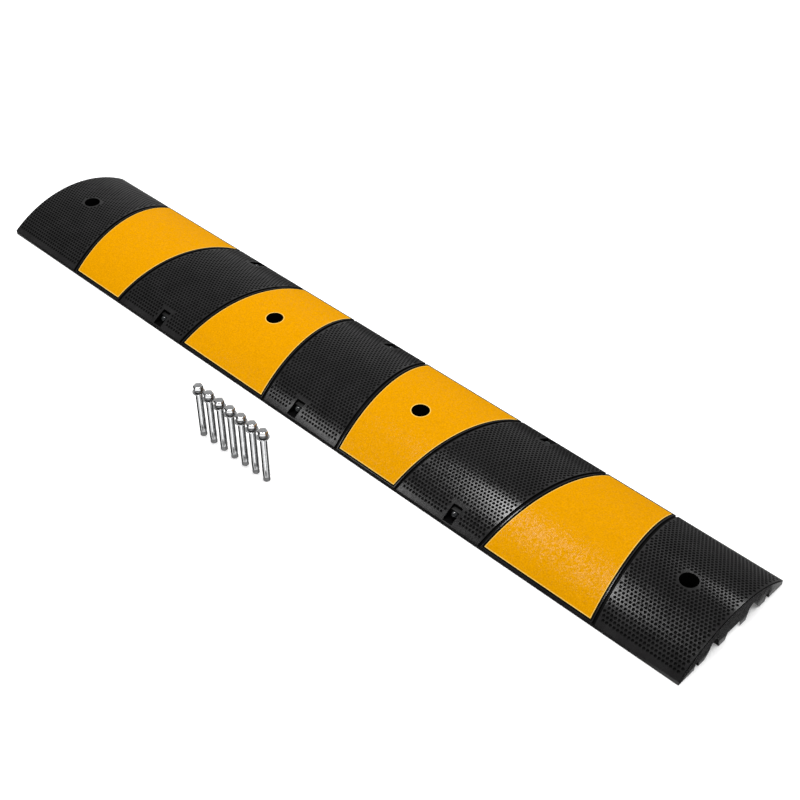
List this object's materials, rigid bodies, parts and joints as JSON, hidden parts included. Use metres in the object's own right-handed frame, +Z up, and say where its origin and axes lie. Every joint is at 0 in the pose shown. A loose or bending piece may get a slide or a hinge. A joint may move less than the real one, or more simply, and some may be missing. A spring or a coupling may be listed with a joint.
{
  "type": "rubber speed bump",
  "caption": "Low arched black rubber speed bump with slanted yellow reflective panels, bolt holes, side reflectors, underside cable channels and a row of loose sleeve anchors.",
  "frame": {"origin": "middle of the base, on the road surface, where the bump's centre line crosses mid-length", "axes": "+X along the bump, +Y across it towards its rear edge, +Z up; the loose anchors stand in front, at -Y"},
  "size_m": [1.83, 0.452, 0.122],
  "materials": {
    "rubber": "glossy moulded rubber with a hexagonal dimple pattern",
    "reflective_film": "glass-beaded reflective film",
    "reflector_seat": "moulded",
    "glass_bead": "clear, silvered behind",
    "zinc_bolt": "bright zinc plate",
    "cone_nut": "dark zinc plate, ribbed",
    "zinc_sleeve": "bright zinc plate",
    "washer": "bright zinc plate",
    "spring_washer": "dull zinc plate"
  },
  "bodies": {
    "bump": {"rubber_body": "rubber", "reflective_panel_1": "reflective_film", "reflective_panel_2": "reflective_film", "reflective_panel_3": "reflective_film", "reflective_panel_4": "reflective_film", "reflector_seat_1": "reflector_seat", "reflector_seat_2": "reflector_seat", "reflector_seat_3": "reflector_seat", "reflector_seat_4": "reflector_seat", "reflector_seat_5": "reflector_seat", "reflector_seat_6": "reflector_seat", "reflector_bead_1": "glass_bead", "reflector_bead_2": "glass_bead", "reflector_bead_3": "glass_bead", "reflector_bead_4": "glass_bead", "reflector_bead_5": "glass_bead", "reflector_bead_6": "glass_bead", "anchor_sleeve_1": "zinc_sleeve", "anchor_sleeve_2": "zinc_sleeve", "anchor_sleeve_3": "zinc_sleeve", "anchor_sleeve_4": "zinc_sleeve", "anchor_sleeve_5": "zinc_sleeve", "anchor_sleeve_6": "zinc_sleeve", "anchor_sleeve_7": "zinc_sleeve", "anchor_washer_1": "washer", "anchor_washer_2": "washer", "anchor_washer_3": "washer", "anchor_washer_4": "washer", "anchor_washer_5": "washer", "anchor_washer_6": "washer", "anchor_washer_7": "washer", "anchor_spring_washer_1": "spring_washer", "anchor_spring_washer_2": "spring_washer", "anchor_spring_washer_3": "spring_washer", "anchor_spring_washer_4": "spring_washer", "anchor_spring_washer_5": "spring_washer", "anchor_spring_washer_6": "spring_washer", "anchor_spring_washer_7": "spring_washer"},
    "bolt_1": {"anchor_bolt_1": "zinc_bolt"},
    "cone_1": {"anchor_cone_1": "cone_nut"},
    "bolt_2": {"anchor_bolt_2": "zinc_bolt"},
    "cone_2": {"anchor_cone_2": "cone_nut"},
    "bolt_3": {"anchor_bolt_3": "zinc_bolt"},
    "cone_3": {"anchor_cone_3": "cone_nut"},
    "bolt_4": {"anchor_bolt_4": "zinc_bolt"},
    "cone_4": {"anchor_cone_4": "cone_nut"},
    "bolt_5": {"anchor_bolt_5": "zinc_bolt"},
    "cone_5": {"anchor_cone_5": "cone_nut"},
    "bolt_6": {"anchor_bolt_6": "zinc_bolt"},
    "cone_6": {"anchor_cone_6": "cone_nut"},
    "bolt_7": {"anchor_bolt_7": "zinc_bolt"},
    "cone_7": {"anchor_cone_7": "cone_nut"}
  },
  "joints": [
    {"name": "bolt_turn_1", "type": "hinge", "parent": "bump", "child": "bolt_1", "pos_m": [-0.09, -0.29, 0.1], "axis": [0, 0, -1], "range_deg": [0, 1080]},
    {"name": "cone_draw_1", "type": "slide", "parent": "bump", "child": "cone_1", "axis": [0, 0, 1], "range_m": [0, 0.0046]},
    {"name": "bolt_turn_2", "type": "hinge", "parent": "bump", "child": "bolt_2", "pos_m": [-0.06, -0.29, 0.1], "axis": [0, 0, -1], "range_deg": [0, 1080]},
    {"name": "cone_draw_2", "type": "slide", "parent": "bump", "child": "cone_2", "axis": [0, 0, 1], "range_m": [0, 0.0046]},
    {"name": "bolt_turn_3", "type": "hinge", "parent": "bump", "child": "bolt_3", "pos_m": [-0.03, -0.29, 0.1], "axis": [0, 0, -1], "range_deg": [0, 1080]},
    {"name": "cone_draw_3", "type": "slide", "parent": "bump", "child": "cone_3", "axis": [0, 0, 1], "range_m": [0, 0.0046]},
    {"name": "bolt_turn_4", "type": "hinge", "parent": "bump", "child": "bolt_4", "pos_m": [0, -0.29, 0.1], "axis": [0, 0, -1], "range_deg": [0, 1080]},
    {"name": "cone_draw_4", "type": "slide", "parent": "bump", "child": "cone_4", "axis": [0, 0, 1], "range_m": [0, 0.0046]},
    {"name": "bolt_turn_5", "type": "hinge", "parent": "bump", "child": "bolt_5", "pos_m": [0.03, -0.29, 0.1], "axis": [0, 0, -1], "range_deg": [0, 1080]},
    {"name": "cone_draw_5", "type": "slide", "parent": "bump", "child": "cone_5", "axis": [0, 0, 1], "range_m": [0, 0.0046]},
    {"name": "bolt_turn_6", "type": "hinge", "parent": "bump", "child": "bolt_6", "pos_m": [0.06, -0.29, 0.1], "axis": [0, 0, -1], "range_deg": [0, 1080]},
    {"name": "cone_draw_6", "type": "slide", "parent": "bump", "child": "cone_6", "axis": [0, 0, 1], "range_m": [0, 0.0046]},
    {"name": "bolt_turn_7", "type": "hinge", "parent": "bump", "child": "bolt_7", "pos_m": [0.09, -0.29, 0.1], "axis": [0, 0, -1], "range_deg": [0, 1080]},
    {"name": "cone_draw_7", "type": "slide", "parent": "bump", "child": "cone_7", "axis": [0, 0, 1], "range_m": [0, 0.0046]}
  ],
  "couplings": [
    {"joint": "cone_draw_1", "follows": "bolt_turn_1", "m_per_rad": 0.00023873},
    {"joint": "cone_draw_2", "follows": "bolt_turn_2", "m_per_rad": 0.00023873},
    {"joint": "cone_draw_3", "follows": "bolt_turn_3", "m_per_rad": 0.00023873},
    {"joint": "cone_draw_4", "follows": "bolt_turn_4", "m_per_rad": 0.00023873},
    {"joint": "cone_draw_5", "follows": "bolt_turn_5", "m_per_rad": 0.00023873},
    {"joint": "cone_draw_6", "follows": "bolt_turn_6", "m_per_rad": 0.00023873},
    {"joint": "cone_draw_7", "follows": "bolt_turn_7", "m_per_rad": 0.00023873}
  ]
}
